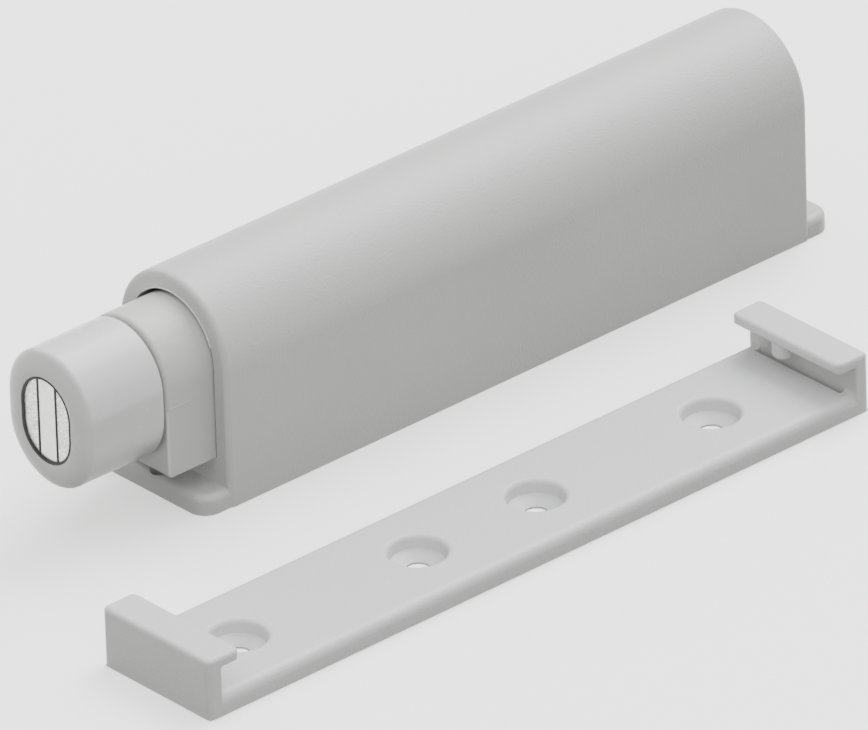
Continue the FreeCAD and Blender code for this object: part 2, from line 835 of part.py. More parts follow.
def make_mounting_plate():
    """The screwed-down strip, with a clip at each end that holds one tongue."""
    body = new_body("mounting_plate")
    low, lip, high = size("plate_thickness"), lip_height, clip_height
    wall, reach, end = size("clip_wall"), size("clip_depth"), plate_length
    pip_x = wall + size("tongue_clearance") + size("pip_from_tip")
    side = new_sketch(body, "XZ_Plane")
    outline(side, [
        (ZERO, ZERO), (end, ZERO), (end, high), (end - reach, high), (end - reach, lip),
        (end - wall, lip), (end - wall, low), (wall, low), (wall, lip), (reach, lip),
        (reach, high), (ZERO, high),
    ])
    pad(body, side, size("plate_width"), symmetric=True)
    length, top, strip = end.value, high.value, low.value
    under, tip = lip.value, reach.value
    round_edges(body, size("plate_corner_round"), lambda box: (
        box.XLength + box.YLength < 0.01 and (box.ZLength > under or near(box.ZMin, under))
    ))
    round_edges(body, size("plate_edge_round"), lambda box: (
        box.XLength > length / 2 and near(box.ZMin, strip)
    ))
    round_edges(body, size("clip_top_round"), lambda box: near(box.ZMin, top))
    round_edges(body, size("lip_round"), lambda box: (
        near(box.ZMin, under) and near(box.ZMax, under)
        and (near(box.XMax, tip) or near(box.XMin, length - tip))
    ))
    for x in (pip_x, end - pip_x):
        pip = new_sketch(body, "XY_Plane", lip - size("pip_height"))
        circle(pip, x, ZERO, size("pip_radius"))
        pad(body, pip, size("pip_height") + size("lip_thickness") / 2)
    drill_screw_holes(body)
    bind(body, "Placement.Base.x", plate_x)
    bind(body, "Placement.Base.y", plate_y)
    SUB_PARTS.append(body)


def drill_screw_holes(body):
    """Four countersunk holes in a row, two pairs about the same middle."""
    first = size("first_hole")
    second = first + size("outer_hole_gap")
    third = second + size("inner_hole_gap")
    fourth = third + size("outer_hole_gap")
    marks = new_sketch(body, "XY_Plane", size("plate_thickness"))
    for x in (first, second, third, fourth):
        circle(marks, x, ZERO, size("screw_hole_radius"))
    doc.recompute()
    before = body.Shape.Volume
    hole = body.newObject("PartDesign::Hole", "screw_holes")
    hole.Profile = marks
    doc.recompute()
    hole.Threaded = False
    hole.DepthType = "ThroughAll"
    hole.HoleCutType = "Countersink"
    bind(hole, "Diameter", size("screw_hole_radius") * 2)
    bind(hole, "HoleCutDiameter", size("screw_head_radius") * 2)
    bind(hole, "HoleCutCountersinkAngle", size("countersink_angle"))
    doc.recompute()
    if body.Shape.Volume >= before:
        raise ValueError("the screw holes cut nothing")
    top, width = size("plate_thickness").value, size("screw_head_radius").value * 2
    round_edges(body, size("hole_rim_round"), lambda box: (
        near(box.ZMin, top) and near(box.ZMax, top) and near(box.XLength, width, 0.2)
        and near(box.YLength, width, 0.2)
    ))


def write_steps():
    """Check every object of the document, then write one file for each sub-part."""
    doc.recompute()
    for item in doc.Objects:
        if "Invalid" in item.State or "Error" in item.State:
            raise ValueError(f"{item.Label} did not compute: {item.State}")
    for piece in SUB_PARTS:
        if piece.Shape.isNull() or not piece.Shape.isValid():
            raise ValueError(f"{piece.Label} has no valid shape")
        if len(piece.Shape.Solids) != 1:
            raise ValueError(f"{piece.Label} has {len(piece.Shape.Solids)} solids")
    os.makedirs("parts", exist_ok=True)
    for piece in SUB_PARTS:
        piece.Shape.exportStep(f"parts/{piece.Label}.step")
        print(piece.Label, round(piece.Shape.Volume, 2))


make_housing()
make_rear_plug()
make_stop_bumper()
make_plunger()
make_head_cap()
make_adjusting_stem()
make_thread_insert()
make_friction_ring()
make_spring_washer()
make_return_spring()
make_guide_rod()
make_magnet_set()
make_bottom_cover()
make_follower_pin()
make_follower_spring()
make_mounting_plate()
write_steps()
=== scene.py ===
# %% [markdown]
# A push to open catch, dressed for its portrait. The catch is a long arched housing of pale
# moulded plastic with a sprung slide in it. An oval head with a magnet sits on the slide.
# Beside it lies the strip that is screwed to the cabinet, which the housing snaps onto.
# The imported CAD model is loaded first. It holds the true sizes, so every piece made here
# reads its place from it.

import math
from functools import partial

import bmesh
import bpy
from mathutils import Matrix, Vector


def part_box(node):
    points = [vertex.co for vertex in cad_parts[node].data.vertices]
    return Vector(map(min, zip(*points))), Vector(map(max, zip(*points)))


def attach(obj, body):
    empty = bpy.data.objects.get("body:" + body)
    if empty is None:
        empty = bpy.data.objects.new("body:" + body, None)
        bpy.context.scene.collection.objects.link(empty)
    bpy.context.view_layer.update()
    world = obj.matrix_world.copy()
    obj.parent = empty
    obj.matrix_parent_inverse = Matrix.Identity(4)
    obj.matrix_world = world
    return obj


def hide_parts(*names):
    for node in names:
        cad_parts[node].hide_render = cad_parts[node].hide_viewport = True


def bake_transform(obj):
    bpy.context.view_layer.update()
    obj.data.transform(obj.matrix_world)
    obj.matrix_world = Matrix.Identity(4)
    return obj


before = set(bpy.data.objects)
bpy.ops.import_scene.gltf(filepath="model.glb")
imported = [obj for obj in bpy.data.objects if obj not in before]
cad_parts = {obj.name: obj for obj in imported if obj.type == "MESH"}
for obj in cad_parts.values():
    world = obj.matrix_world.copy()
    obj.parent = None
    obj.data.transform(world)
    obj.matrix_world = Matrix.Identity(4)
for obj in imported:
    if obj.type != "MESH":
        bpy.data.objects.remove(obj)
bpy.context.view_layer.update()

# %% [markdown]
# Blender works in metres here, and a catch is easier to think about in millimetres. These
# values turn the CAD boxes into the few lengths that the pieces need. The head's axis is
# the line that the cap, the magnet, the screw and the spring all share.

# %% Read the places of the pieces
MM = 0.001

housing_low, housing_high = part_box("housing")
plate_low, plate_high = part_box("mounting_plate")
cap_low, cap_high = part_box("head_cap")
HEAD_AXIS = (cap_low + cap_high) / 2
FLOOR = housing_low.z
print("housing in mm:", [round(v / MM, 2) for v in housing_high - housing_low])
print("head axis in mm:", [round(v / MM, 2) for v in HEAD_AXIS])

# %% [markdown]
# The photograph was taken from the front left, about 29 degrees above the table, through a
# long lens, so that parallel edges stay nearly parallel. The camera also leans by almost
# two degrees. It could be set by eye, but a small error shows at once along such straight
# edges. So its place is worked out from one point that is easy to see: the middle of the
# plate's front end, on the table, and where that point falls in the picture.

# %% Place the camera
PICTURE_WIDTH, PICTURE_HEIGHT = 868, 730
FOCAL_PIXELS = 18000
PIXELS_PER_MM = 10.111
AZIMUTH, ELEVATION, LEAN = -41.21, 29.03, -1.817
PLATE_FRONT_PIXEL = Vector((156.9, 693.6))
SENSOR_WIDTH = 36
SEEN_FROM, SEEN_TO = 0.1, 20


def camera_axes(azimuth, elevation, lean):
    """Right, up and backward directions of a camera that looks at the object."""
    turn, rise, roll = (math.radians(v) for v in (azimuth, elevation, lean))
    right = Vector((math.cos(turn), math.sin(turn), 0))
    level = math.cos(rise)
    back = Vector((math.sin(turn) * level, -math.cos(turn) * level, math.sin(rise)))
    up = back.cross(right)
    leaned_right = right * math.cos(roll) + up * math.sin(roll)
    return leaned_right, back.cross(leaned_right), back


def place_camera():
    right, up, back = camera_axes(AZIMUTH, ELEVATION, LEAN)
    front_end = Vector((plate_low.x, (plate_low.y + plate_high.y) / 2, FLOOR))
    aside = (PICTURE_WIDTH / 2 - PLATE_FRONT_PIXEL.x) / PIXELS_PER_MM
    below = (PLATE_FRONT_PIXEL.y - PICTURE_HEIGHT / 2) / PIXELS_PER_MM
    distance = FOCAL_PIXELS / PIXELS_PER_MM
    data = bpy.data.cameras.new("camera")
    data.sensor_width = SENSOR_WIDTH
    data.lens = SENSOR_WIDTH * FOCAL_PIXELS / PICTURE_WIDTH
    data.clip_start, data.clip_end = SEEN_FROM, SEEN_TO
    camera = bpy.data.objects.new("camera", data)
    bpy.context.scene.collection.objects.link(camera)
    place = front_end + (right * aside + up * below + back * distance) * MM
    camera.matrix_world = Matrix((
        (right.x, up.x, back.x, place.x), (right.y, up.y, back.y, place.y),
        (right.z, up.z, back.z, place.z), (0, 0, 0, 1),
    ))
    bpy.context.scene.camera = camera
    return camera


camera = place_camera()
print("lens in mm:", round(camera.data.lens, 1))

# %% [markdown]
# A studio table is a wide pale sheet. It reaches far past the picture's edges, so that no horizon
# shows. It glows faintly, as a light table does, and shows in reflections. A plain white sheet
# would throw light back up, but the undersides of the catch are dark in the photograph, so this
# one gives no diffuse light.

# %% Lay the floor
FLOOR_REACH = 3.0
FLOOR_WHITE = (0.93, 0.93, 0.93)
FLOOR_ROUGHNESS = 0.9
FLOOR_SHINE = 0.1
FLOOR_GLOW = 0.7


def material(name, colour, roughness):
    """A new node material. Returns it with its shader and its node tree."""
    finish = bpy.data.materials.new(name)
    finish.use_nodes = True
    shader = finish.node_tree.nodes["Principled BSDF"]
    shader.inputs["Base Color"].default_value = (*colour, 1)
    shader.inputs["Roughness"].default_value = roughness
    return finish, shader, finish.node_tree


def lay_floor():
    mesh = bpy.data.meshes.new("floor")
    corners = [(-1, -1), (1, -1), (1, 1), (-1, 1)]
    mesh.from_pydata([(x * FLOOR_REACH, y * FLOOR_REACH, FLOOR) for x, y in corners],
                     [], [(0, 1, 2, 3)])
    floor = bpy.data.objects.new("floor", mesh)
    bpy.context.scene.collection.objects.link(floor)
    finish, shader = material("studio_floor", FLOOR_WHITE, FLOOR_ROUGHNESS)[:2]
    shader.inputs["Specular IOR Level"].default_value = FLOOR_SHINE
    shader.inputs["Emission Color"].default_value = (1, 1, 1, 1)
    shader.inputs["Emission Strength"].default_value = FLOOR_GLOW
    mesh.materials.append(finish)
    floor.visible_diffuse = False
    floor.visible_shadow = False
    return floor


floor = lay_floor()
print("floor in m:", [round(side, 1) for side in floor.dimensions])

# %% [markdown]
# Four lamps stand round the catch. A softbox high over the rear end gives the tops their
# last third, and leaves the fronts and the far walls of the screw wells dark. A weaker one
# fills the far side. A small lamp stands close to the near side's front, so the light fades
# towards the rear. One beside the camera adds only the thin highlights on rounded edges.
# One big lamp would light the catch too, but it couldn't fade along the near side.

# %% Set the lamps
LAMPS = {
    "softbox": {"from": (0.72, 0.15, 0.95), "size": 0.9, "watts": 19},
    "far side": {"from": (-0.25, 0.95, 0.60), "size": 0.5, "watts": 4},
    "near side": {"from": (-0.16, -0.22, 0.10), "size": 0.10, "watts": 0.15},
    "glint": {"from": (-0.60, -0.98, 0.62), "size": 0.08, "watts": 1.2},
}


def set_lamp(name, place, size, watts):
    """A square lamp that faces the middle of the table."""
    data = bpy.data.lights.new(name, "AREA")
    data.energy = watts
    data.size = size
    lamp = bpy.data.objects.new(name, data)
    lamp.location = place
    lamp.rotation_euler = (-Vector(place)).to_track_quat("-Z", "Y").to_euler()
    bpy.context.scene.collection.objects.link(lamp)


for name, lamp in LAMPS.items():
    set_lamp(name, lamp["from"], lamp["size"], lamp["watts"])
    print(name, "is", round(Vector(lamp["from"]).length, 2), "m away")

# %% [markdown]
# A light tent fills the rest: a dome that is bright overhead and dims towards the horizon.
# The table side of the surround is nearly dark. A picture of a studio could serve as the
# surround, but here only height matters, so a colour ramp over the height is enough and
# reads nothing from disk.

# %% Raise the dome
DOME_BRIGHTNESS = 2.1
DOME_STOPS = [
    (0.0, (0.020, 0.020, 0.018)), (0.498, (0.020, 0.020, 0.018)),
    (0.502, (0.105, 0.105, 0.095)), (0.75, (0.525, 0.525, 0.495)),
    (1.0, (1.0, 1.015, 1.025)),
]


def ramp(tree, source, stops):
    """A colour ramp over a value. Stops are (place, colour)."""
    node = tree.nodes.new("ShaderNodeValToRGB")
    elements = node.color_ramp.elements
    while len(elements) < len(stops):
        elements.new(0.5)
    for element, (place, colour) in zip(elements, stops):
        element.position = place
        element.color = (*colour, 1)
    tree.links.new(source, node.inputs["Fac"])
    return node.outputs["Color"]


def map_range(tree, source, low, high, to_low=0.0, to_high=1.0):
    """A value's range from low to high, laid onto another range and held at its ends."""
    node = tree.nodes.new("ShaderNodeMapRange")
    node.inputs["From Min"].default_value = low
    node.inputs["From Max"].default_value = high
    node.inputs["To Min"].default_value = to_low
    node.inputs["To Max"].default_value = to_high
    tree.links.new(source, node.inputs["Value"])
    return node.outputs["Result"]


def raise_dome():
    """A surround whose brightness goes by height, from straight down to straight up."""
    world = bpy.data.worlds.new("dome")
    world.use_nodes = True
    tree = world.node_tree
    direction = tree.nodes.new("ShaderNodeTexCoord")
    parts = tree.nodes.new("ShaderNodeSeparateXYZ")
    tree.links.new(direction.outputs["Generated"], parts.inputs["Vector"])
    shades = ramp(tree, map_range(tree, parts.outputs["Z"], -1, 1), DOME_STOPS)
    tree.links.new(shades, tree.nodes["Background"].inputs["Color"])
    tree.nodes["Background"].inputs["Strength"].default_value = DOME_BRIGHTNESS
    bpy.context.scene.world = world


raise_dome()
print("dome:", len(DOME_STOPS), "shades")

# %% [markdown]
# No real surface is quite even. A picture of one could be laid over each piece, but its
# seams would show and it has one scale only. A noise texture on object coordinates has
# neither fault, and it fits a piece of any size. Every finish here is made from noise: it
# drives a colour, a shine or a relief, which is a bump that leaves the mesh as it is.

# %% Tools for finishes
NOISE_LOW, NOISE_HIGH = 0.3, 0.7


def noise(tree, waves, detail=2.0, roughness=0.5):
    """A noise texture on object coordinates, with so many waves to the metre."""
    coordinates = tree.nodes.new("ShaderNodeTexCoord")
    texture = tree.nodes.new("ShaderNodeTexNoise")
    texture.inputs["Scale"].default_value = waves
    texture.inputs["Detail"].default_value = detail
    texture.inputs["Roughness"].default_value = roughness
    tree.links.new(coordinates.outputs["Object"], texture.inputs["Vector"])
    return texture.outputs["Fac"]


def bump(tree, source, strength, height, under=None):
    """Relief from a value, laid over another relief where there is one."""
    node = tree.nodes.new("ShaderNodeBump")
    node.inputs["Strength"].default_value = strength
    node.inputs["Distance"].default_value = height
    tree.links.new(source, node.inputs["Height"])
    if under:
        tree.links.new(under, node.inputs["Normal"])
    return node.outputs["Normal"]


# %% [markdown]
# The plastic is a pale grey with a satin surface, moulded against a finely spark-eroded
# steel. Its grain is far below a tenth of a millimetre, and the surface also rises and
# sinks by a hair over a few millimetres, which breaks up the highlights. One noise could
# give only one of these scales, so two are laid over each other as relief. Two more let the
# colour wander by one percent and the shine by four, as coloured plastic does.

# %% Mix the plastics
COLOUR_WAVES, COLOUR_WANDER = 90, 0.01
SHINE_WAVES, SHINE_WANDER = 260, 0.04
SINK_WAVES, SINK_STRENGTH, SINK_HEIGHT = 220, 0.06, 0.12 * MM
GRAIN_WAVES, GRAIN_HEIGHT = 3600, 0.06 * MM
PLASTIC_SHINE = 0.42
DEPTH_SHARE, DEPTH_REACH = 0.08, 1.2 * MM


def moulded_plastic(name, colour, roughness=0.4, grain=0.85):
    finish, shader, tree = material(name, colour, roughness)
    darker, lighter = (tuple(c * (1 + wander) for c in colour)
                       for wander in (-COLOUR_WANDER, COLOUR_WANDER))
    tint = ramp(tree, noise(tree, COLOUR_WAVES, 3), [(NOISE_LOW, darker), (NOISE_HIGH, lighter)])
    shine = map_range(tree, noise(tree, SHINE_WAVES, 4), NOISE_LOW, NOISE_HIGH,
                      roughness * (1 - SHINE_WANDER), roughness * (1 + SHINE_WANDER))
    sink = bump(tree, noise(tree, SINK_WAVES, 2), SINK_STRENGTH, SINK_HEIGHT)
    relief = bump(tree, noise(tree, GRAIN_WAVES, 3), grain, GRAIN_HEIGHT, under=sink)
    tree.links.new(tint, shader.inputs["Base Color"])
    tree.links.new(shine, shader.inputs["Roughness"])
    tree.links.new(relief, shader.inputs["Normal"])
    shader.inputs["Specular IOR Level"].default_value = PLASTIC_SHINE
    shader.inputs["Subsurface Weight"].default_value = DEPTH_SHARE
    shader.inputs["Subsurface Radius"].default_value = (DEPTH_REACH,) * 3
    return finish


HOUSING_GREY = (0.485, 0.49, 0.485)
PLATE_GREY = (0.54, 0.545, 0.545)
PLUNGER_GREY = (0.49, 0.495, 0.485)
CAP_GREY = (0.60, 0.605, 0.605)
INNER_WHITE = (0.66, 0.66, 0.64)

housing_plastic = moulded_plastic("housing_plastic", HOUSING_GREY)
plate_plastic = moulded_plastic("plate_plastic", PLATE_GREY)
plunger_plastic = moulded_plastic("plunger_plastic", PLUNGER_GREY)
cap_plastic = moulded_plastic("cap_plastic", CAP_GREY, roughness=0.27, grain=0.1)
inner_plastic = moulded_plastic("inner_plastic", INNER_WHITE)
print("nodes in a plastic:", len(housing_plastic.node_tree.nodes))

# %% [markdown]
# The magnet's face has three bands: two segments of steel, which carry the magnet's pull
# forward, and the nickelled magnet between them. The steel is stamped and only tumbled, so
# it shows a coarse bright and dark speckle. The magnet is smooth and evenly bright. Steel
# and magnet could be two materials of their own kind. One recipe with its two colours and
# its speckle's size as values makes both, and the springs and the brass nut as well.

# %% Mix the metals
SPECKLE_DARK, SPECKLE_BRIGHT = 0.38, 0.62
SPECKLE_STRENGTH, SPECKLE_HEIGHT = 0.5, 0.04 * MM
SPECKLE_DETAIL, SPECKLE_HARSHNESS = 5, 0.65
METALLIC = 0.85


def speckled_metal(name, dark, bright, waves, roughness):
    finish, shader, tree = material(name, bright, roughness)
    speckle = noise(tree, waves, SPECKLE_DETAIL, SPECKLE_HARSHNESS)
    colours = ramp(tree, speckle, [(SPECKLE_DARK, dark), (SPECKLE_BRIGHT, bright)])
    relief = bump(tree, speckle, SPECKLE_STRENGTH, SPECKLE_HEIGHT)
    tree.links.new(colours, shader.inputs["Base Color"])
    tree.links.new(relief, shader.inputs["Normal"])
    shader.inputs["Metallic"].default_value = METALLIC
    return finish


pole_steel = speckled_metal("pole_steel", (0.42, 0.42, 0.41), (0.86, 0.86, 0.85), 4200, 0.42)
magnet_nickel = speckled_metal(
    "magnet_nickel", (0.62, 0.62, 0.61), (0.70, 0.70, 0.69), 1500, 0.36)
spring_steel = speckled_metal(
    "spring_steel", (0.30, 0.30, 0.31), (0.42, 0.42, 0.43), 3000, 0.30)
brass = speckled_metal("insert_brass", (0.52, 0.36, 0.13), (0.66, 0.48, 0.20), 1800, 0.32)
print("metals:", [finish.name for finish in (pole_steel, magnet_nickel, spring_steel, brass)])

# %% [markdown]
# The ring that brakes the screw and the bumper that stops the plunger are black rubber, and the
# painted shade lines on the magnet's face use the same black. Black is never quite black, and a
# flat one looks like a hole, so a noise lets it wander between two very dark greys.

# %% Mix the rubber
RUBBER_BLACK = (0.02, 0.02, 0.02)
RUBBER_DARK, RUBBER_WORN = (0.014, 0.014, 0.014), (0.03, 0.03, 0.03)
RUBBER_WAVES, RUBBER_ROUGHNESS = 900, 0.7


def soft_rubber(name):
    finish, shader, tree = material(name, RUBBER_BLACK, RUBBER_ROUGHNESS)
    cloud = noise(tree, RUBBER_WAVES, 3)
    tint = ramp(tree, cloud, [(NOISE_LOW, RUBBER_DARK), (NOISE_HIGH, RUBBER_WORN)])
    tree.links.new(tint, shader.inputs["Base Color"])
    return finish


black_rubber = soft_rubber("black_rubber")
print("rubber:", black_rubber.name)

# %% [markdown]
# Most pieces are right as the CAD made them and only need a finish. A CAD piece keeps its
# mesh and its place, and the new finish goes into the material slots that it has. Faces
# could be painted one by one, but each of these pieces is of one stuff.

# %% Give each CAD piece its finish
FINISHES = {
    "housing": housing_plastic, "bottom_cover": housing_plastic, "rear_plug": housing_plastic,
    "mounting_plate": plate_plastic, "plunger": plunger_plastic, "head_cap": cap_plastic,
    "adjusting_stem": inner_plastic, "guide_rod": inner_plastic, "magnet": magnet_nickel,
    "pole_plate_left": pole_steel, "pole_plate_right": pole_steel, "keeper_plate": spring_steel,
    "spring_washer": spring_steel, "return_spring": spring_steel, "follower_pin": spring_steel,
    "follower_spring": spring_steel, "thread_insert": brass, "friction_ring": black_rubber,
    "stop_bumper": black_rubber,
}


def dress(node, finish):
    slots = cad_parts[node].material_slots
    for slot in slots:
        slot.material = finish
    if not slots:
        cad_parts[node].data.materials.append(finish)


for node, finish in FINISHES.items():
    dress(node, finish)
print("dressed:", len(FINISHES))

# %% [markdown]
# Several pieces are made anew where the photograph or the real part shows more than the CAD solid
# holds. All of them go through the same steps. Node trees and modifiers are settled into a plain
# mesh, the shading is smoothed except at true corners, and each piece but the return spring is
# put on the body that it moves with. Modifiers could stay live, but a plain mesh looks the same
# in every program that opens it.

# %% Tools for new pieces
def plain_object(name, mesh):
    piece = bpy.data.objects.new(name, mesh)
    bpy.context.scene.collection.objects.link(piece)
    return piece


def settle(piece):
    """The piece with its modifiers worked into a plain mesh."""
    bpy.context.view_layer.update()
    graph = bpy.context.evaluated_depsgraph_get()
    mesh = bpy.data.meshes.new_from_object(piece.evaluated_get(graph))
    piece.modifiers.clear()
    piece.data = mesh
    return piece


def smooth_shading(piece, corner=35):
    """Smooth shading with sharp corners, weighted so that flat faces look flat."""
    mesh = piece.data
    mesh.polygons.foreach_set("use_smooth", [True] * len(mesh.polygons))
    mesh.set_sharp_from_angle(angle=math.radians(corner))
    weighted = piece.modifiers.new("weighted", "WEIGHTED_NORMAL")
    weighted.keep_sharp = True
    weighted.weight = 100
    return settle(piece)


def put_on(piece, body, finish, replaced=()):
    """Gives a piece its finish and its body, and hides the CAD nodes that it stands for."""
    piece.data.materials.clear()
    piece.data.materials.append(finish)
    if body:
        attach(piece, body)
    if replaced:
        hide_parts(*replaced)
    print(piece.name, "has", len(piece.data.polygons), "faces")


# %% [markdown]
# The strip, the screw wells' cutter, the pegs, the cap and the screw's collar are all rows
# of points with faces between neighbouring rows, as a loft in a CAD program has. Extrude
# and spin tools make such skins too, but they leave doubles on an axis and may order the
# faces anew in each run. All rows start at the same side and have as many points, so the
# faces can't twist. Only a pole is a row of one point.

# %% The tool for skins
def skin_mesh(name, rows):
    """A closed mesh over rows of points. Each end is a pole or gets one flat face."""
    mesh = bpy.data.meshes.new(name)
    shape = bmesh.new()
    rings = [[shape.verts.new(point) for point in row] for row in rows]
    steps = max(len(ring) for ring in rings)
    for first, second in zip(rings, rings[1:]):
        for step in range(steps):
            corners = [ring[number % len(ring)] for ring, number in
                       ((first, step), (first, step + 1), (second, step + 1), (second, step))]
            shape.faces.new(list(dict.fromkeys(corners)))
    for end in (rings[0], rings[-1]):
        if len(end) > 1:
            shape.faces.new(end)
    bmesh.ops.recalc_face_normals(shape, faces=shape.faces)
    shape.to_mesh(mesh)
    shape.free()
    return mesh


# %% [markdown]
# What repeats or follows a path is made by Geometry Nodes. A loop in Python could place the
# same points, but a tree keeps its sizes as named inputs that can be tried by hand. These
# helpers make a tree with such inputs, hang it on a piece, and close it, so that its copies
# become real and carry their finish.

# %% Tools for node trees
def new_tree(name, sizes):
    """A geometry node tree whose named inputs carry the piece's sizes."""
    tree = bpy.data.node_groups.new(name, "GeometryNodeTree")
    tree.interface.new_socket("Geometry", in_out="INPUT", socket_type="NodeSocketGeometry")
    for label, value in sizes.items():
        kind = "NodeSocketInt" if isinstance(value, int) else "NodeSocketFloat"
        socket = tree.interface.new_socket(label, in_out="INPUT", socket_type=kind)
        socket.default_value = value
    tree.interface.new_socket("Finish", in_out="INPUT", socket_type="NodeSocketMaterial")
    tree.interface.new_socket("Geometry", in_out="OUTPUT", socket_type="NodeSocketGeometry")
    return tree, tree.nodes.new("NodeGroupInput"), tree.nodes.new("NodeGroupOutput")


def use_tree(piece, tree, sizes, finish):
    """Adds the tree to a piece and sets every input by its identifier."""
    modifier = piece.modifiers.new(tree.name, "NODES")
    modifier.node_group = tree
    values = {**sizes, "Finish": finish}
    for socket in tree.interface.items_tree:
        if socket.in_out == "INPUT" and socket.name in values:
            modifier[socket.identifier] = values[socket.name]


def close_tree(tree, geometry, inputs, outputs):
    """Ends a tree in Realize Instances and Set Material."""
    realize = tree.nodes.new("GeometryNodeRealizeInstances")
    paint = tree.nodes.new("GeometryNodeSetMaterial")
    tree.links.new(geometry, realize.inputs["Geometry"])
    tree.links.new(realize.outputs["Geometry"], paint.inputs["Geometry"])
    tree.links.new(inputs.outputs["Finish"], paint.inputs["Material"])
    tree.links.new(paint.outputs["Geometry"], outputs.inputs["Geometry"])


# %% [markdown]
# Inside a tree, a sum of five terms is four nodes and their links. Written out, that hides
# what is summed. So one call here is one math node, and two more calls do what several
# trees share: moving every point to a worked out place, and drawing a tube along a path.

# %% Tools for sums and paths
def feed(tree, node, values):
    """Gives each input of a node, in order, a number or another node's output."""
    for socket, value in zip(node.inputs, values):
        if isinstance(value, (int, float)):
            socket.default_value = value
        else:
            tree.links.new(value, socket)


def math_node(tree, operation, *values):
    node = tree.nodes.new("ShaderNodeMath")
    node.operation = operation
    feed(tree, node, values)
    return node.outputs["Value"]


def move_points(tree, geometry, x, y, z):
    """Sets every point of a geometry to the place that three values give."""
    point = tree.nodes.new("ShaderNodeCombineXYZ")
    feed(tree, point, (x, y, z))
    move = tree.nodes.new("GeometryNodeSetPosition")
    tree.links.new(geometry, move.inputs["Geometry"])
    tree.links.new(point.outputs["Vector"], move.inputs["Position"])
    return move.outputs["Geometry"]


def skin_path(tree, path, radius, sides):
    """A closed tube of so many sides along a path of edges."""
    curve = tree.nodes.new("GeometryNodeMeshToCurve")
    tree.links.new(path, curve.inputs["Mesh"])
    section = tree.nodes.new("GeometryNodeCurvePrimitiveCircle")
    section.inputs["Resolution"].default_value = sides
    tree.links.new(radius, section.inputs["Radius"])
    skin = tree.nodes.new("GeometryNodeCurveToMesh")
    skin.inputs["Fill Caps"].default_value = True
    tree.links.new(curve.outputs["Curve"], skin.inputs["Curve"])
    tree.links.new(section.outputs["Curve"], skin.inputs["Profile Curve"])
    return skin.outputs["Mesh"]


# %% [markdown]
# The mounting plate is the piece that the photograph shows most clearly. It is a flat strip
# with a hooked clip at each end. It could be joined from boxes, which leaves hidden faces
# inside. One side outline of strip and clips, skinned to its twin on the far side, has
# none. The piece is shaped in millimetres about its own front end, because a cut between
# meshes is safer in numbers near one, and brought to its place and to metres at the end.

# %% Draw the outline of the strip and its clips
PLATE_LENGTH = (plate_high.x - plate_low.x) / MM
PLATE_HALF_WIDTH = (plate_high.y - plate_low.y) / 2 / MM
PLATE_PLACE = Vector((plate_low.x, (plate_low.y + plate_high.y) / 2, FLOOR))
CLIP_HEIGHT = (plate_high.z - plate_low.z) / MM
STRIP_THICKNESS = 2.3
CLIP_WALL = 1.75
LIP_REACH = 4.3
LIP_THICKNESS = 1.25
LIP_UNDERSIDE = CLIP_HEIGHT - LIP_THICKNESS


def plate_outline():
    front = [(0, 0), (0, CLIP_HEIGHT), (LIP_REACH, CLIP_HEIGHT), (LIP_REACH, LIP_UNDERSIDE),
             (CLIP_WALL, LIP_UNDERSIDE), (CLIP_WALL, STRIP_THICKNESS)]
    rear = [(PLATE_LENGTH - x, z) for x, z in reversed(front)]
    return front + rear


print("strip in mm:", round(PLATE_LENGTH, 2), "long,", round(CLIP_HEIGHT, 2), "high at its clips")

# %% [markdown]
# The strip's long top edges are well rounded, and its clips have soft corners. A bevel of
# one width would make all edges alike. A bevel that reads a weight from each edge rounds
# every kind of edge by its own amount, given here in millimetres.

# %% Make the strip and round its edges
FOOT_ROUND = 0.1
ACROSS = {"strip": 0.5, "outside": 0.6, "lip": 0.5, "under": 0.4}
ALONG = {"strip": 1.1, "lip": 0.5, "under": 0.3}
UPRIGHT = {"outside": 0.7, "lip": 0.9, "inside": 0.2}
WIDEST_ROUND = 1.1
ROUND_STEPS = 6
CLOSE = 0.1


def edge_round(edge):
    """How far an edge of the strip is rounded, by the way it runs and where it lies."""
    start, end = (corner.co for corner in edge.verts)
    middle, run = (start + end) / 2, end - start
    from_end = min(middle.x, PLATE_LENGTH - middle.x)
    if middle.z < CLOSE:
        return FOOT_ROUND
    level = "under"
    if middle.z < STRIP_THICKNESS + CLOSE:
        level = "strip"
    elif middle.z > CLIP_HEIGHT - CLOSE:
        level = "lip"
    if abs(run.y) > CLOSE:
        return ACROSS["outside" if level == "lip" and from_end < CLOSE else level]
    if abs(run.x) > CLOSE:
        return ALONG[level]
    if from_end < CLOSE:
        return UPRIGHT["outside"]
    return UPRIGHT["lip" if from_end > CLIP_WALL + CLOSE else "inside"]


def make_strip():
    sides = [[(x, y, z) for x, z in plate_outline()]
             for y in (-PLATE_HALF_WIDTH, PLATE_HALF_WIDTH)]
    strip = plain_object("plate_strip", skin_mesh("plate_strip", sides))
    shape = bmesh.new()
    shape.from_mesh(strip.data)
    weights = shape.edges.layers.float.new("bevel_weight_edge")
    for edge in shape.edges:
        edge[weights] = edge_round(edge) / WIDEST_ROUND
    shape.to_mesh(strip.data)
    shape.free()
    bevel = strip.modifiers.new("rounds", "BEVEL")
    bevel.limit_method = "WEIGHT"
    bevel.width = WIDEST_ROUND
    bevel.segments = ROUND_STEPS
    return strip


strip = make_strip()
print("strip corners:", len(strip.data.vertices))

# %% [markdown]
# Each screw hole is a shallow well with a rolled rim, a steep wall and a flat cone above
# the screw's bore. One cutter has that shape, turned from its side outline. Its rim stands
# a hair above the strip, because a cut where two faces lie in one plane can fail.

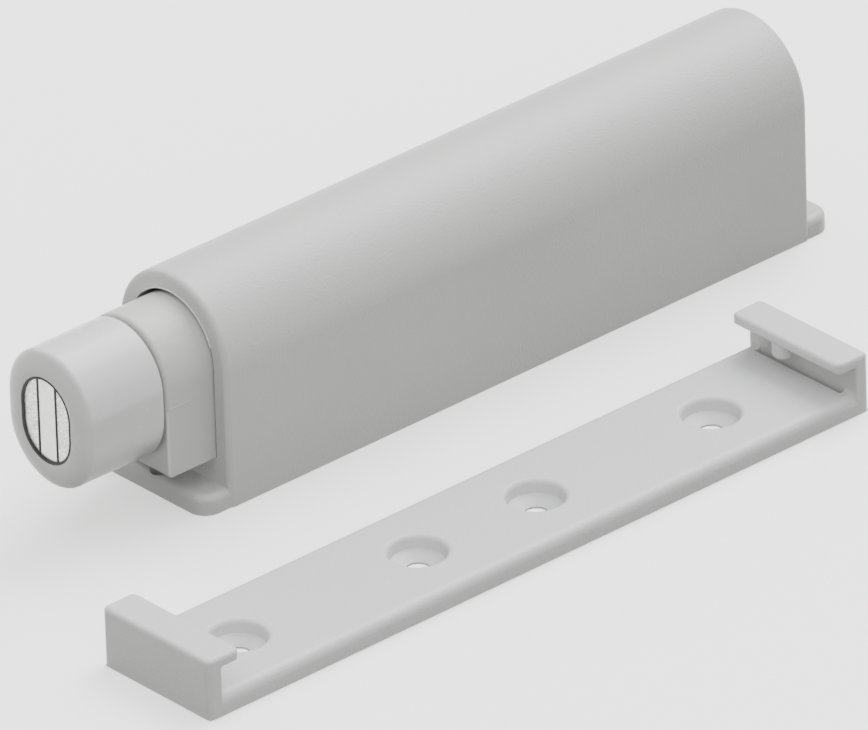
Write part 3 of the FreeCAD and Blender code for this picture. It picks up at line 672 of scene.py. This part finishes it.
# %% Turn the cutter of the screw wells
WELL_ROLL = 0.6
WELL_LIFT = 0.004
WELL_RADIUS = 3.0
WALL_LEAN = 0.15
CONE_TOP, CONE_FOOT = 0.95, 0.2
BORE_RADIUS = 1.3
CUTTER_ABOVE, CUTTER_BELOW = 1, 0.5


def quarter_turn(step):
    """Angles from 0 to 90 degrees, so many degrees apart."""
    return [math.radians(degrees) for degrees in range(0, 91, step)]


def well_outline():
    top = STRIP_THICKNESS + WELL_LIFT
    high, low = STRIP_THICKNESS + CUTTER_ABOVE, -CUTTER_BELOW
    roll = [(WELL_RADIUS + WELL_ROLL * (1 - math.sin(t)), top - WELL_ROLL * (1 - math.cos(t)))
            for t in quarter_turn(15)]
    rim = [(0, high), (WELL_RADIUS + WELL_ROLL, high)]
    bore = [(WELL_RADIUS - WALL_LEAN, CONE_TOP), (BORE_RADIUS, CONE_FOOT), (BORE_RADIUS, low),
            (0, low)]
    return rim + roll + bore


def turned_mesh(name, outline, axis="Z", steps=64):
    """A closed mesh from a side outline of (radius, along) with both its ends on the axis."""
    rows = []
    for radius, along in outline:
        angles = [math.tau * step / steps for step in range(steps if radius else 1)]
        turn = [(radius * math.cos(angle), radius * math.sin(angle)) for angle in angles]
        rows.append([(across, aside, along) if axis == "Z" else (along, aside, across)
                     for across, aside in turn])
    return skin_mesh(name, rows)


cutter = plain_object("well_cutter", turned_mesh("well_cutter", well_outline()))
print("cutter:", len(cutter.data.polygons), "faces")

# %% [markdown]
# Four copies of the cutter could be set by hand. A node tree sets them at the places that
# follow from the hole pitch, outer gap, inner gap, outer gap, and takes all four out of the
# strip in one cut, so that the pitch stays a value.

# %% Sink the four screw wells
WELLS = {"First well": 10.8, "Outer gap": 24.0, "Inner gap": 16.0}
WELL_GAPS = ("Outer gap", "Inner gap", "Outer gap")


def well_tree(sizes, cutter):
    tree, inputs, outputs = new_tree("screw_wells", sizes)
    calc = partial(math_node, tree)
    marks = tree.nodes.new("GeometryNodeMeshLine")
    marks.inputs["Count"].default_value = len(WELL_GAPS) + 1
    number = tree.nodes.new("GeometryNodeInputIndex").outputs["Index"]
    place = inputs.outputs["First well"]
    for step, gap in enumerate(WELL_GAPS, 1):
        reached = calc("GREATER_THAN", number, step - 0.5)
        place = calc("ADD", place, calc("MULTIPLY", reached, inputs.outputs[gap]))
    spread = move_points(tree, marks.outputs["Mesh"], place, 0, 0)
    tool = tree.nodes.new("GeometryNodeObjectInfo")
    tool.inputs["Object"].default_value = cutter
    copies = tree.nodes.new("GeometryNodeInstanceOnPoints")
    tree.links.new(spread, copies.inputs["Points"])
    tree.links.new(tool.outputs["Geometry"], copies.inputs["Instance"])
    apart = tree.nodes.new("GeometryNodeRealizeInstances")
    tree.links.new(copies.outputs["Instances"], apart.inputs["Geometry"])
    cut = tree.nodes.new("GeometryNodeMeshBoolean")
    cut.operation = "DIFFERENCE"
    tree.links.new(inputs.outputs["Geometry"], cut.inputs["Mesh 1"])
    tree.links.new(apart.outputs["Geometry"], cut.inputs["Mesh 2"])
    close_tree(tree, cut.outputs["Mesh"], inputs, outputs)
    return tree


use_tree(strip, well_tree(WELLS, cutter), WELLS, plate_plastic)
settle(strip)
bpy.data.objects.remove(cutter)
print("strip with wells:", len(strip.data.polygons))

# %% [markdown]
# Under the rear lip the photograph shows a dark band along the foot of the wall. Moulds for
# such clips leave a pocket there, so the strip gets a blind one as wide as that band. A
# dark stripe could be painted, but it would stay dark from every side. A box is enough as
# the cutter, since the pocket's corners are sharp.

# %% Sink the pocket under the rear lip
BAND_WIDTH = 0.8
BAND_FLOOR = 0.2
BAND_FROM_SIDE = 1.7
BAND_FROM_WALL = 0.02
BAND_CUTTER_HEIGHT = 3


def sink_pocket(piece):
    mesh = bpy.data.meshes.new("pocket_cutter")
    shape = bmesh.new()
    bmesh.ops.create_cube(shape, size=1)
    size = Vector((BAND_WIDTH, 2 * (PLATE_HALF_WIDTH - BAND_FROM_SIDE), BAND_CUTTER_HEIGHT))
    middle = Vector((PLATE_LENGTH - CLIP_WALL - BAND_WIDTH / 2 - BAND_FROM_WALL, 0,
                     BAND_FLOOR + BAND_CUTTER_HEIGHT / 2))
    for corner in shape.verts:
        corner.co = corner.co * size + middle
    shape.to_mesh(mesh)
    shape.free()
    tool = plain_object("pocket_cutter", mesh)
    cut = piece.modifiers.new("pocket", "BOOLEAN")
    cut.operation = "DIFFERENCE"
    cut.solver = "EXACT"
    cut.object = tool
    settle(piece)
    bpy.data.objects.remove(tool)


sink_pocket(strip)
print("strip with its pocket:", len(strip.data.polygons))

# %% [markdown]
# A small peg hangs under each lip and drops into the dimple of the housing's tongue. Its
# tip is round, so that the tongue slides past it and clicks in. The photograph shows the
# rear one a little to the far side of the middle. A peg is turned from its outline, as the
# cutter was, and its root reaches into the lip, so that no gap can show.

# %% Hang the two pegs
PEG_RADIUS = 1.15
PEG_LENGTH = 1.8
PEG_TIP_ROUND = 0.5
PEG_ROOT = 0.6
PEG_FROM_WALL = 1.25
PEG_ASIDE = 1.6


def peg_outline():
    low, root = LIP_UNDERSIDE - PEG_LENGTH, LIP_UNDERSIDE + PEG_ROOT
    tip = [(PEG_RADIUS - PEG_TIP_ROUND * (1 - math.sin(t)),
            low + PEG_TIP_ROUND * (1 - math.cos(t))) for t in quarter_turn(15)]
    return [(0, low)] + tip + [(PEG_RADIUS, root), (0, root)]


def add_mesh(piece, mesh, place):
    """Joins a loose mesh into a piece, moved to its place."""
    shape = bmesh.new()
    shape.from_mesh(piece.data)
    known = len(shape.verts)
    shape.from_mesh(mesh)
    shape.verts.ensure_lookup_table()
    bmesh.ops.translate(shape, verts=shape.verts[known:], vec=place)
    shape.to_mesh(piece.data)
    shape.free()


peg = turned_mesh("peg", peg_outline(), steps=32)
peg_from_end = CLIP_WALL + PEG_FROM_WALL
for peg_x in (peg_from_end, PLATE_LENGTH - peg_from_end):
    add_mesh(strip, peg, (peg_x, PEG_ASIDE, 0))
strip.data.transform(Matrix.Translation(PLATE_PLACE) @ Matrix.Scale(MM, 4))
smooth_shading(strip)
put_on(strip, "case", plate_plastic, ["mounting_plate"])

# %% [markdown]
# The cap of the head is an upright round, taller than it is wide. Its front swells softly
# from the magnet to the side, so the light fades across it, and it is hollow in front for
# the magnet and behind for the screw's collar. A box could be rounded by a modifier, but
# its front would stay flat. So the cap is a row of outlines of the same kind, from the
# floor of the front pocket over the outside to the floor of the rear hollow. A thin lip of
# it reaches over the rim of the magnet's face.

# %% Give the cap its outlines
CAP_HALF_WIDTH = (cap_high.y - cap_low.y) / 2 / MM
CAP_RISE = (cap_high.z - cap_low.z) / 2 / MM - CAP_HALF_WIDTH
CAP_LENGTH = (cap_high.x - cap_low.x) / MM
POCKET_HALF_WIDTH, POCKET_RISE, POCKET_DEPTH = 3.95, 0.75, 5.0
MOUTH_HALF_WIDTH, MOUTH_RISE = 3.62, 1.1
MOUTH_BACK, MOUTH_SLOPE, MOUTH_EDGE = 0.02, 0.01, 0.06
SWELL_REACH, SWELL_DEPTH, SWELL_LIFT = 2.25, 0.95, 0.26
REAR_ROUND = 0.3
HOLLOW_HALF_WIDTH, HOLLOW_DEPTH = 4.6, 3.1


def rise_at(half_width):
    """The rise grows evenly from the mouth's outline to the cap's."""
    share = (half_width - MOUTH_HALF_WIDTH) / (CAP_HALF_WIDTH - MOUTH_HALF_WIDTH)
    return MOUTH_RISE + share * (CAP_RISE - MOUTH_RISE)


def cap_outlines():
    """Rows of (distance from the front, half width, rise), from pocket to rear hollow."""
    rows = [(POCKET_DEPTH, POCKET_HALF_WIDTH, POCKET_RISE),
            (-MOUTH_BACK, POCKET_HALF_WIDTH, POCKET_RISE),
            (-MOUTH_BACK - MOUTH_SLOPE, MOUTH_HALF_WIDTH, MOUTH_RISE),
            (MOUTH_EDGE - SWELL_LIFT, MOUTH_HALF_WIDTH, MOUTH_RISE)]
    for t in quarter_turn(9):
        half_width = CAP_HALF_WIDTH - SWELL_REACH * (1 - math.sin(t))
        rows.append((SWELL_DEPTH * (1 - math.cos(t)) - SWELL_LIFT, half_width,
                     rise_at(half_width)))
    for t in quarter_turn(30):
        rows.append((CAP_LENGTH - REAR_ROUND * (1 - math.sin(t)),
                     CAP_HALF_WIDTH - REAR_ROUND * (1 - math.cos(t)), CAP_RISE))
    rows.append((CAP_LENGTH, HOLLOW_HALF_WIDTH, CAP_RISE))
    rows.append((CAP_LENGTH - HOLLOW_DEPTH, HOLLOW_HALF_WIDTH, CAP_RISE))
    return rows


print("outlines of the cap:", len(cap_outlines()))

# %% [markdown]
# Each outline becomes a ring of points about the head's axis, and the skin goes over all of
# them. The corners where the skin turns sharply, at the pockets, stay sharp. Everything
# else is shaded smooth, so 24 steps to the half round are enough.

# %% Skin the cap
def upright_round(x, half_width, rise, steps=24):
    """Points of an upright round: two half circles with straight sides between them."""
    points = []
    for side in (1, -1):
        for step in range(steps + 1):
            angle = math.pi * step / steps
            points.append((x, HEAD_AXIS.y + half_width * MM * math.cos(angle) * side,
                           HEAD_AXIS.z + (rise + half_width * math.sin(angle)) * MM * side))
    return points


cap_rows = [upright_round(cap_low.x + x * MM, half_width, rise)
            for x, half_width, rise in cap_outlines()]
cap = plain_object("soft_cap", skin_mesh("soft_cap", cap_rows))
smooth_shading(cap, corner=30)
put_on(cap, "head", cap_plastic, ["head_cap"])

# %% [markdown]
# The return spring is one wire wound about the head's axis. Its first and last turns lie flat
# against each other, and the turns between share the rest of the length. A screw modifier winds
# evenly and can't close the ends. The tree walks along the wire and gives every point its angle
# and its place along the axis. The spring shrinks between the sliding plunger and the fixed plug.

# %% Wind the return spring
spring_low, spring_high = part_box("return_spring")
WIRE_RADIUS = 0.35 * MM
SPRING = {
    "Front": spring_low.x + WIRE_RADIUS, "Length": spring_high.x - spring_low.x - 2 * WIRE_RADIUS,
    "Radius": (spring_high.z - spring_low.z) / 2 - WIRE_RADIUS, "Wire": WIRE_RADIUS,
    "Turns": 24, "Steps": 28,
}
CLOSED_TURNS = 1.25
CLOSED_PITCH = 2.05
WIRE_SIDES = 10
SAME_PLACE = 0.0001 * MM


def spring_tree(sizes):
    tree, inputs, outputs = new_tree("return_spring", sizes)
    size, calc = inputs.outputs, partial(math_node, tree)
    line = tree.nodes.new("GeometryNodeMeshLine")
    count = calc("ADD", calc("MULTIPLY", size["Turns"], size["Steps"]), 1)
    tree.links.new(count, line.inputs["Count"])
    number = tree.nodes.new("GeometryNodeInputIndex").outputs["Index"]
    turn = calc("DIVIDE", number, size["Steps"])
    last = calc("SUBTRACT", size["Turns"], CLOSED_TURNS)
    flat = calc("MULTIPLY", size["Wire"], CLOSED_PITCH)
    begun = calc("MINIMUM", turn, CLOSED_TURNS)
    ended = calc("MAXIMUM", calc("SUBTRACT", turn, last), 0)
    open_turns = calc("SUBTRACT", calc("SUBTRACT", turn, begun), ended)
    closed = calc("MULTIPLY", calc("ADD", begun, ended), flat)
    free = calc("SUBTRACT", size["Length"], calc("MULTIPLY", flat, 2 * CLOSED_TURNS))
    pitch = calc("DIVIDE", free, calc("SUBTRACT", last, CLOSED_TURNS))
    along = calc("ADD", closed, calc("MULTIPLY", open_turns, pitch))
    angle = calc("MULTIPLY", turn, math.tau)
    y = calc("MULTIPLY", size["Radius"], calc("COSINE", angle))
    z = calc("MULTIPLY", size["Radius"], calc("SINE", angle))
    wound = move_points(tree, line.outputs["Mesh"], calc("ADD", size["Front"], along),
                        calc("ADD", y, HEAD_AXIS.y), calc("ADD", z, HEAD_AXIS.z))
    close_tree(tree, skin_path(tree, wound, size["Wire"], WIRE_SIDES), inputs, outputs)
    return tree


def tree_piece(name, tree, sizes, finish, corner=35):
    """A new piece that a node tree makes from nothing."""
    piece = plain_object(name, bpy.data.meshes.new(name))
    use_tree(piece, tree, sizes, finish)
    settle(piece)
    outward = bmesh.new()
    outward.from_mesh(piece.data)
    bmesh.ops.remove_doubles(outward, verts=outward.verts, dist=SAME_PLACE)
    bmesh.ops.recalc_face_normals(outward, faces=outward.faces)
    outward.to_mesh(piece.data)
    outward.free()
    return smooth_shading(piece, corner)


coil = tree_piece("wound_spring", spring_tree(SPRING), SPRING, spring_steel, corner=60)
put_on(coil, None, spring_steel, ["return_spring"])
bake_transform(coil)

# %% [markdown]
# The head is screwed in and out on a coarse thread, two millimetres a turn. The thread
# shows when the head is wound out. A ridge could be swept along a helix and joined to a
# rod, which leaves a seam at its foot. So this one is a grid rolled into a tube whose
# radius rises and falls once a pitch, so that the ridge climbs round it. Both ends run
# down to the axis and close the tube.

# %% Cut the thread of the adjusting screw
stem_low, stem_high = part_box("adjusting_stem")
COLLAR_WIDTH = 1.2
THREAD = {
    "Front": stem_low.x + COLLAR_WIDTH * MM,
    "Length": stem_high.x - stem_low.x - COLLAR_WIDTH * MM,
    "Pitch": 2 * MM, "Crest": 2.95 * MM, "Depth": 0.62 * MM, "Rows": 150, "Columns": 56,
}
FLANK_FROM, FLANK_TO = 0.28, 0.62
RUNOUT_FROM, RUNOUT_TO = 0.96, 0.99
SHORT_OF_HALF = 0.4999


def thread_tree(sizes):
    tree, inputs, outputs = new_tree("coarse_thread", sizes)
    size, calc = inputs.outputs, partial(math_node, tree)
    sheet = tree.nodes.new("GeometryNodeMeshGrid")
    tree.links.new(size["Columns"], sheet.inputs["Vertices X"])
    tree.links.new(size["Rows"], sheet.inputs["Vertices Y"])
    parts = tree.nodes.new("ShaderNodeSeparateXYZ")
    position = tree.nodes.new("GeometryNodeInputPosition").outputs["Position"]
    tree.links.new(position, parts.inputs["Vector"])
    around = calc("ADD", parts.outputs["X"], 0.5)
    share = calc("ADD", parts.outputs["Y"], 0.5)
    along = calc("MULTIPLY", share, size["Length"])
    climbed = calc("SUBTRACT", calc("DIVIDE", along, size["Pitch"]), around)
    wave = calc("MULTIPLY", calc("PINGPONG", climbed, 0.5), 2)
    flank = map_range(tree, wave, FLANK_FROM, FLANK_TO)
    runout = map_range(tree, share, RUNOUT_FROM, RUNOUT_TO)
    sunk = calc("MULTIPLY", calc("MAXIMUM", flank, runout), size["Depth"])
    between_ends = calc("COMPARE", share, 0.5, SHORT_OF_HALF)
    radius = calc("MULTIPLY", calc("SUBTRACT", size["Crest"], sunk), between_ends)
    angle = calc("MULTIPLY", around, math.tau)
    y = calc("MULTIPLY", radius, calc("COSINE", angle))
    z = calc("MULTIPLY", radius, calc("SINE", angle))
    rolled = move_points(tree, sheet.outputs["Mesh"], calc("ADD", size["Front"], along),
                         calc("ADD", y, HEAD_AXIS.y), calc("ADD", z, HEAD_AXIS.z))
    close_tree(tree, rolled, inputs, outputs)
    return tree


screw = tree_piece("head_screw", thread_tree(THREAD), THREAD, inner_plastic, corner=50)
print("thread:", round(THREAD["Length"] / THREAD["Pitch"], 1), "turns")

# %% [markdown]
# At its front the screw has a collar that sits in the cap's rear hollow. It is a disc with
# its edges broken, turned like the pegs, and added to the screw's mesh, because the two are
# one moulding.

# %% Add the collar to the screw
COLLAR_RADIUS = 4.2
COLLAR_EDGE = 0.3
collar_outline = [
    (0, 0), (COLLAR_RADIUS - COLLAR_EDGE, 0), (COLLAR_RADIUS, COLLAR_EDGE),
    (COLLAR_RADIUS, COLLAR_WIDTH - COLLAR_EDGE), (COLLAR_RADIUS - COLLAR_EDGE, COLLAR_WIDTH),
    (0, COLLAR_WIDTH),
]

collar = turned_mesh("collar", collar_outline, axis="X")
collar.transform(Matrix.Scale(MM, 4))
add_mesh(screw, collar, Vector((stem_low.x, HEAD_AXIS.y, HEAD_AXIS.z)))
smooth_shading(screw, corner=50)
put_on(screw, "head", inner_plastic, ["adjusting_stem"])

# %% [markdown]
# The last details are hair lines. The first are on the head, and they are painted shade: a black
# wire rings the magnet and its pole plates, and black wires lie in the gaps between the three
# bands, where the narrow gaps fall into shadow. Lines could be painted on the faces, but wires
# have a thickness that catches or swallows light. Each is a thin wire laid along a path, so one
# tree serves all of them.

# %% Lay the painted shade lines of the magnet's face
HAIR_LINE_SIDES = 8
RING_SHADE_THICKNESS, RING_SHADE_AHEAD, RING_SHADE_INSIDE = 0.17, 0.12, 0.02
GAP_SHADE_THICKNESS, GAP_BEHIND, GAP_ASIDE, GAP_HALF_HEIGHT = 0.19, 0.08, 1.35, 4.5


def wire_tree():
    tree, inputs, outputs = new_tree("hair_line", {"Thickness": 0.1 * MM})
    size = inputs.outputs
    wire = skin_path(tree, size["Geometry"], size["Thickness"], HAIR_LINE_SIDES)
    close_tree(tree, wire, inputs, outputs)
    return tree


HAIR_LINE = wire_tree()


def hair_line(name, points, thickness, finish, closed=False):
    """A thin wire of the finish along points in metres."""
    mesh = bpy.data.meshes.new(name)
    links = [(number, number + 1) for number in range(len(points) - 1)]
    if closed:
        links.append((len(points) - 1, 0))
    mesh.from_pydata(points, links, [])
    piece = plain_object(name, mesh)
    use_tree(piece, HAIR_LINE, {"Thickness": thickness * MM}, finish)
    settle(piece)
    return smooth_shading(piece, corner=60)


# Painted shade: a black wire round the magnet's mouth, where the gap between cap and magnet falls
# into shadow.
ring_shade_path = upright_round(cap_low.x - RING_SHADE_AHEAD * MM, MOUTH_HALF_WIDTH - RING_SHADE_INSIDE, MOUTH_RISE)
ring_shade = hair_line("magnet_glue", ring_shade_path, RING_SHADE_THICKNESS, black_rubber, closed=True)
put_on(ring_shade, "head", black_rubber)
# Painted shade: black wires in the narrow gaps between the pole plates and the magnet.
for side, name in ((-1, "magnet_gap_near"), (1, "magnet_gap_far")):
    gap_shade_path = [(cap_low.x + GAP_BEHIND * MM, HEAD_AXIS.y + side * GAP_ASIDE * MM,
                 HEAD_AXIS.z + z * MM) for z in (-GAP_HALF_HEIGHT, GAP_HALF_HEIGHT)]
    gap = hair_line(name, gap_shade_path, GAP_SHADE_THICKNESS, black_rubber)
    put_on(gap, "head", black_rubber)

# %% [markdown]
# The two halves of the plunger's mould meet on its sides and leave a thin raised seam
# there, where the round top goes over into the block. It wavers by a few hundredths of a
# millimetre, because no mould closes perfectly.

# %% Raise the seams of the plunger
plunger_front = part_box("plunger")[0].x
SEAM_THICKNESS, SEAM_ASIDE, SEAM_HEIGHT = 0.06, 6.1, 12.9
SEAM_BEGIN, SEAM_STEP, SEAM_POINTS = 0.4, 0.25, 20
SEAM_WAVER, SEAM_WAVE = 0.03, 1.7

for side, name in ((-1, "plunger_seam_near"), (1, "plunger_seam_far")):
    seam_path = [(plunger_front + (SEAM_BEGIN + SEAM_STEP * step) * MM,
                  HEAD_AXIS.y + side * SEAM_ASIDE * MM,
                  (SEAM_HEIGHT + SEAM_WAVER * math.sin(step * SEAM_WAVE)) * MM)
                 for step in range(SEAM_POINTS)]
    seam = hair_line(name, seam_path, SEAM_THICKNESS, plunger_plastic)
    put_on(seam, "slide", plunger_plastic)

# %% [markdown]
# The photograph shows two edges as pale lines: the front corner of the plunger's block and part
# of the arch of the opening. Each is a painted highlight: a thin bead on the edge in the cap's
# paler, smoother plastic, so the line stays pale under any lamp.

# %% Paint highlights on the edges of the block and the opening
CORNER_THICKNESS, CORNER_BEHIND, CORNER_ASIDE = 0.2, 0.18, 5.92
CORNER_HEIGHTS = (5.6, 9, 12.6)
ARCH_THICKNESS, ARCH_RADIUS, ARCH_CENTRE_HEIGHT = 0.1, 6.3, 15.55
ARCH_BEHIND = 3.45
ARCH_DEGREES = range(48, 164, 4)

corner_x = plunger_front + CORNER_BEHIND * MM
corner_y = HEAD_AXIS.y - CORNER_ASIDE * MM
corner_path = [(corner_x, corner_y, z * MM) for z in CORNER_HEIGHTS]
# Painted highlight: a pale bead along the front corner of the plunger's block.
corner_highlight = hair_line("block_corner", corner_path, CORNER_THICKNESS, cap_plastic)
put_on(corner_highlight, "slide", cap_plastic)

arch_path = [(housing_low.x + ARCH_BEHIND * MM,
              HEAD_AXIS.y + ARCH_RADIUS * MM * math.cos(angle),
              (ARCH_CENTRE_HEIGHT + ARCH_RADIUS * math.sin(angle)) * MM)
             for angle in (math.radians(degrees) for degrees in ARCH_DEGREES)]
# Painted highlight: a pale bead along the upper arch of the opening.
edge_highlight = hair_line("opening_edge", arch_path, ARCH_THICKNESS, cap_plastic)
put_on(edge_highlight, "case", cap_plastic)
